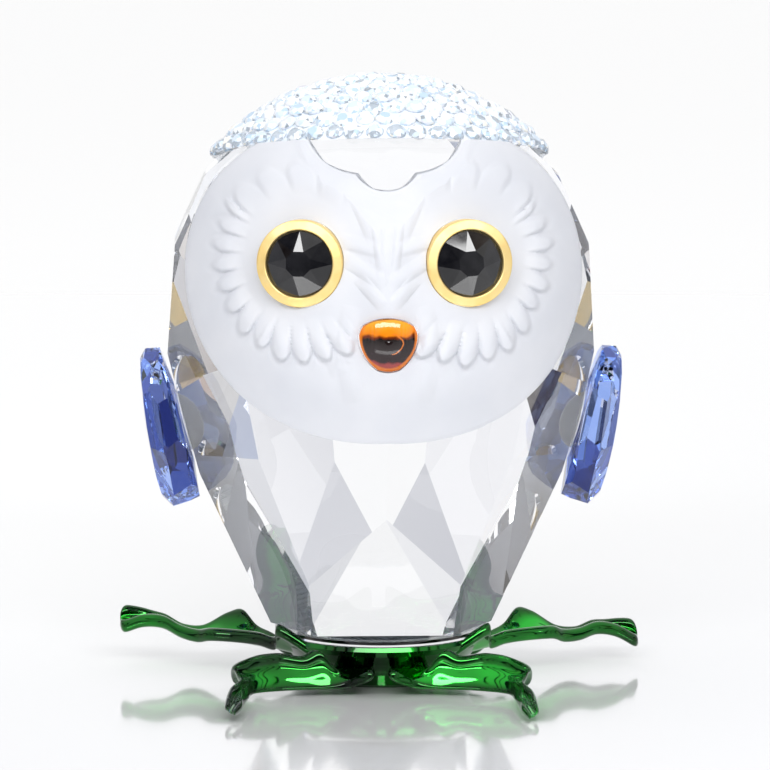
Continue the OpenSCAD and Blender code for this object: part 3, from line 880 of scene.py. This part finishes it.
# ---------------------------------------------------------------- leaves
# points along a leaf from root to tip: front edge, middle, rear edge
FRONT_LEAF = [
    [[1.3, 7.4, 1.9], [2.4, 6.8, 1.8], [3.5, 6.2, 1.9]],
    [[1.35, 10.6, 1.9], [2.5, 9.6, 1.4], [4.0, 8.5, 1.6]],
    [[3.2, 9.9, 0.95], [4.0, 9.4, 1.45], [4.7, 8.9, 2.2]],
    [[4.6, 9.8, 0.75], [5.0, 9.4, 1.8], [5.6, 8.8, 3.1]],
    [[6.4, 10.0, 0.75], [6.6, 9.6, 1.65], [6.8, 8.8, 2.65]],
    [[8.7, 10.4, 0.75], [8.8, 9.9, 1.75], [8.8, 9.1, 3.0]],
    [[10.8, 11.6, 0.8], [10.8, 11.1, 1.65], [10.7, 10.1, 2.9]],
    [[11.4, 14.3, 0.9], [11.6, 13.2, 1.5], [12.5, 11.6, 2.4]],
    [[11.8, 16.7, 1.0], [11.8, 15.7, 1.4], [11.9, 14.0, 1.9]],
    [[12.0, 18.2, 1.0], [12.2, 17.4, 1.2], [12.7, 16.0, 1.5]],
    [[12.6, 20.5, 0.95], [12.8, 20.2, 1.0], [13.2, 19.4, 1.1]],
]
SIDE_LEAF = [
    [[5.4, 5.6, 2.5], [6.2, 3.4, 2.3], [6.6, 1.2, 2.3]],
    [[8.6, 5.2, 4.6], [7.9, 3.0, 2.7], [7.9, 1.0, 2.3]],
    [[9.0, 3.4, 3.2], [9.3, 1.6, 2.7], [9.3, -0.5, 2.9]],
    [[10.4, 2.4, 3.4], [10.6, 0.4, 2.7], [10.4, -2.0, 3.15]],
    [[12.4, 1.6, 3.5], [12.0, -0.8, 2.8], [11.6, -3.2, 4.2]],
    [[14.3, 1.0, 3.5], [13.6, -1.4, 2.9], [12.9, -3.8, 3.9]],
    [[15.4, 0.0, 3.2], [15.1, -1.9, 2.8], [14.9, -4.0, 2.8]],
    [[16.8, -1.0, 3.4], [16.7, -2.4, 3.0], [16.5, -4.2, 2.8]],
    [[18.3, -2.0, 4.0], [18.2, -3.3, 3.6], [18.1, -4.9, 3.6]],
    [[19.9, -2.6, 4.0], [19.7, -3.9, 3.8], [19.5, -5.3, 3.9]],
    [[21.4, -3.0, 3.5], [21.4, -4.0, 3.8], [21.3, -5.0, 4.3]],
    [[21.9, -3.4, 3.6], [21.9, -4.0, 3.8], [21.9, -4.6, 4.1]],
]
LEAF_T, LEAF_RIM_R = 0.34, 0.56
ARC_POINTS, BLADE_POINTS = 15, 17
# painted highlight round a section: 0 on the rims, 1 in the middle of the blade, where the lacquer is
# drawn lighter
BLADE_HIGHLIGHT = [1 - abs(2 * (i + 1) / (BLADE_POINTS + 1) - 1) ** 2.5 for i in range(BLADE_POINTS)]
PAINTED_BLADE_HIGHLIGHT = ([0.0] * ARC_POINTS + BLADE_HIGHLIGHT) * 2
# radius of the front edge at evenly spaced places from root to tip
FRONT_EDGE = [0.42, 0.42, 0.30, 0.17, 0.16, 0.16, 0.16, 0.2, 0.4, 0.42, 0.42]
SIDE_EDGE = [LEAF_RIM_R] * 4


def curve_at(points, t):
    """Catmull-Rom curve through a list of points, t from 0 to 1."""
    n = len(points) - 1
    s = min(int(t * n), n - 1)
    f = t * n - s
    a, b = points[max(s - 1, 0)], points[s]
    c, d = points[s + 1], points[min(s + 2, n)]
    return 0.5 * (
        2 * b + (c - a) * f + (2 * a - 5 * b + 4 * c - d) * f * f
        + (3 * b - a - 3 * c + d) * f * f * f
    )


def unit(v):
    """The vector at unit length."""
    return v / np.linalg.norm(v)


def leaf_section(leaf, drop, edges, t):
    """Closed section across a leaf: a thin dished blade between two round rims."""
    shrink = 1.0 if t < 0.9 else math.sqrt(max(1 - ((t - 0.9) / 0.1) ** 2 * 0.93, 0.0))
    swell = 1 + 0.08 * math.sin(23 * t) + 0.015 * math.sin(53 * t + 1)
    edge, rim = curve_at(edges, t) * shrink, LEAF_RIM_R * shrink * swell
    half, dish = LEAF_T / 2 * shrink, 0.1
    front, mid, rear = (curve_at([np.array(row[i]) for row in leaf], t) for i in range(3))
    across = unit(rear - front)
    off = unit(np.array([0, 0, 1.0]) - across[2] * across)
    arc = [math.radians(a) for a in range(-140, 141, 20)]
    over = [front + edge * (math.sin(a) * off - math.cos(a) * across) for a in arc]
    under = [rear + rim * (math.sin(a) * off + math.cos(a) * across) for a in reversed(arc)]
    top = [
        over[-2], over[-1], (front + mid) / 2 + (half - dish) * off, mid + (half - dish) * off,
        (rear + mid) / 2 + (half - dish) * off, under[0], under[1],
    ]
    low = [
        under[-2], under[-1], (rear + mid) / 2 - (half + dish) * off, mid - (half + dish) * off,
        (front + mid) / 2 - (half + dish) * off, over[0], over[1],
    ]

    def fill(ctrl):
        n = len(ctrl) - 1
        return [curve_at(ctrl, (1 + (n - 2) * i / 18) / n) for i in range(1, 18)]

    pts = np.array(over + fill(top) + under + fill(low))
    pts[:, 2] -= drop * max(0.0, t - 0.45) ** 1.3 / 0.55 ** 1.3
    return pts


def make_leaf(name, leaf, drop, edges, rot, mirror):
    """Skins the sections of one leaf and closes its two ends."""
    steps = 120
    ts = [1 - (1 - i / steps) ** 1.25 for i in range(steps + 1)]
    rows = [leaf_section(leaf, drop, edges, t) for t in ts]
    n = len(rows[0])
    pts = np.vstack(rows) * np.array([-1, -1, 1.0])
    if mirror:
        pts[:, 0] *= -1
    pts = pts @ rot.T
    faces = []
    for i in range(steps):
        for k in range(n):
            a, b = i * n + k, i * n + (k + 1) % n
            faces.append((a, a + n, b + n, b) if mirror else (a, b, b + n, a + n))
    root, tip = list(range(n)), [steps * n + k for k in range(n)]
    faces += [tuple(root), tuple(reversed(tip))] if mirror else [tuple(reversed(root)), tuple(tip)]
    ob = add_mesh(name + "_lacquered", pts.tolist(), faces, [LACQUER], True, 60)
    # this attribute carries the painted highlight of each blade to the lacquer
    thin = ob.data.attributes.new("thin", "FLOAT", "POINT")
    thin.data.foreach_set("value", PAINTED_BLADE_HIGHLIGHT * (steps + 1))
    bm = bmesh.new()
    bm.from_mesh(ob.data)
    bmesh.ops.recalc_face_normals(bm, faces=bm.faces)
    bm.to_mesh(ob.data)
    bm.free()
    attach(ob, "root")
    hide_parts(name)


# how far the right leaves droop at the tip, and how far the leaves turn about the hub
SIDE_DROP, FRONT_DROP, FRONT_TURN, BACK_TURN = 1.85, 0.35, 3.5, 76
make_leaf("leaf_front_left", FRONT_LEAF, 0, FRONT_EDGE, rot_z(0), False)
make_leaf("leaf_front_right", FRONT_LEAF, FRONT_DROP, FRONT_EDGE, rot_z(-FRONT_TURN), True)
make_leaf("leaf_side_left", SIDE_LEAF, 0, SIDE_EDGE, rot_z(0), False)
make_leaf("leaf_side_right", SIDE_LEAF, SIDE_DROP, SIDE_EDGE, rot_z(0), True)
make_leaf("leaf_back", SIDE_LEAF, SIDE_DROP / 2, SIDE_EDGE, rot_z(-BACK_TURN), False)

# ---------------------------------------------------------------- stage and light
FLOOR_HALF = 3.0
bm = bmesh.new()
bmesh.ops.create_grid(bm, x_segments=1, y_segments=1, size=FLOOR_HALF)
floor_mesh = bpy.data.meshes.new("floor")
bm.to_mesh(floor_mesh)
bm.free()
floor_mesh.materials.append(floor_material())
floor = bpy.data.objects.new("floor", floor_mesh)
floor.location = (0, 0, -0.00002)
scene.collection.objects.link(floor)


def make_world():
    """A white tent, open and dark towards the viewer, with a grey back and dark cards."""
    world = bpy.data.worlds.new("tent")
    scene.world = world
    world.use_nodes = True
    nt = world.node_tree
    bg = next(n for n in nt.nodes if n.type == "BACKGROUND")
    tc = nt.nodes.new("ShaderNodeTexCoord")
    sep = nt.nodes.new("ShaderNodeSeparateXYZ")
    nt.links.new(tc.outputs["Generated"], sep.inputs["Vector"])

    def band(axis, low, high):
        m = nt.nodes.new("ShaderNodeMapRange")
        m.interpolation_type = "SMOOTHSTEP"
        m.inputs["From Min"].default_value = low
        m.inputs["From Max"].default_value = high
        nt.links.new(sep.outputs[axis], m.inputs["Value"])
        return m.outputs["Result"]

    def blend(kind, fac, a, b):
        m = nt.nodes.new("ShaderNodeMix")
        m.data_type = "RGBA"
        m.blend_type = kind
        for sock, src in (("Factor", fac), ("A", a), ("B", b)):
            if isinstance(src, (tuple, float)):
                m.inputs[sock].default_value = (*src, 1.0) if isinstance(src, tuple) else src
            else:
                nt.links.new(src, m.inputs[sock])
        return m.outputs["Result"]

    front = ramp(nt, band("Y", -0.95, -0.80), [(0.0, (0.085, 0.09, 0.105)), (1.0, (1.0, 1.0, 1.0))])
    # the lower walls are greyer than the roof, in soft uneven patches
    patches = ramp(nt, noise(nt, tc.outputs["Generated"], 3.1, 1.0, 0.4), [
        (0.38, (0.56, 0.57, 0.62)), (0.48, (0.73, 0.735, 0.775)), (0.60, (0.93, 0.93, 0.955)),
    ])
    walls = blend("MIX", band("Z", 0.22, 0.60), patches.outputs["Color"], (1.0, 1.0, 1.0))
    # straight behind the object the wall is plain white, for the backdrop's mirror image
    behind = blend("MIX", band("Y", 0.965, 0.985), walls, (1.0, 1.0, 1.0))
    tent = blend("MULTIPLY", 1.0, behind, front.outputs["Color"])
    # narrow dark cards at both sides, orange along one edge and blue along the other
    cards = ramp(nt, sep.outputs["X"], [
        (0.0, (1.0, 1.0, 1.0)), (0.04, (0.70, 0.79, 1.0)), (0.048, (0.03, 0.03, 0.05)),
        (0.08, (0.03, 0.03, 0.04)), (0.09, (1.0, 0.78, 0.58)), (0.10, (1.0, 1.0, 1.0)),
        (0.21, (1.0, 1.0, 1.0)), (0.22, (0.60, 0.74, 1.0)), (0.228, (0.03, 0.03, 0.05)),
        (0.25, (0.05, 0.03, 0.02)), (0.26, (1.0, 0.76, 0.55)), (0.27, (1.0, 0.98, 0.92)),
        (0.345, (1.0, 1.0, 1.0)), (0.353, (0.35, 0.20, 0.08)), (0.365, (0.04, 0.06, 0.12)),
        (0.375, (0.65, 0.77, 1.0)), (0.385, (1.0, 1.0, 1.0)), (0.485, (1.0, 1.0, 1.0)),
        (0.495, (0.62, 0.73, 1.0)), (0.505, (0.03, 0.035, 0.06)), (0.545, (0.02, 0.02, 0.04)),
        (0.555, (1.0, 0.9, 0.8)),
    ])
    spread = nt.nodes.new("ShaderNodeMapRange")
    spread.inputs["From Min"].default_value = 0.52
    spread.inputs["From Max"].default_value = 1.32
    ab = nt.nodes.new("ShaderNodeMath")
    ab.operation = "ABSOLUTE"
    nt.links.new(sep.outputs["X"], ab.inputs[0])
    nt.links.new(ab.outputs[0], spread.inputs["Value"])
    nt.links.new(spread.outputs["Result"], cards.inputs["Fac"])
    low = blend("MIX", band("Z", 0.62, 0.70), cards.outputs["Color"], (1.0, 1.0, 1.0))
    colour = blend("MULTIPLY", 1.0, tent, low)
    nt.links.new(colour, bg.inputs["Color"])
    bg.inputs["Strength"].default_value = 0.99


make_world()


AIM_POINT = Vector((0, 0, 25 * MM))


def softbox(name, az, el, dist, size, radiance):
    """A rectangular light that faces the object from azimuth az and elevation el."""
    a, e = math.radians(az), math.radians(el)
    direction = Vector((math.sin(a) * math.cos(e), -math.cos(a) * math.cos(e), math.sin(e)))
    data = bpy.data.lights.new(name, "AREA")
    data.shape = "RECTANGLE"
    data.size, data.size_y = size
    data.energy = radiance * math.pi * size[0] * size[1]
    ob = bpy.data.objects.new(name, data)
    ob.location = AIM_POINT + direction * dist
    ob.rotation_mode = "QUATERNION"
    ob.rotation_quaternion = (-direction).to_track_quat("-Z", "Y")
    scene.collection.objects.link(ob)


softbox("key", -0.5, 33.9, 0.6, (0.72, 0.10), 13.0)
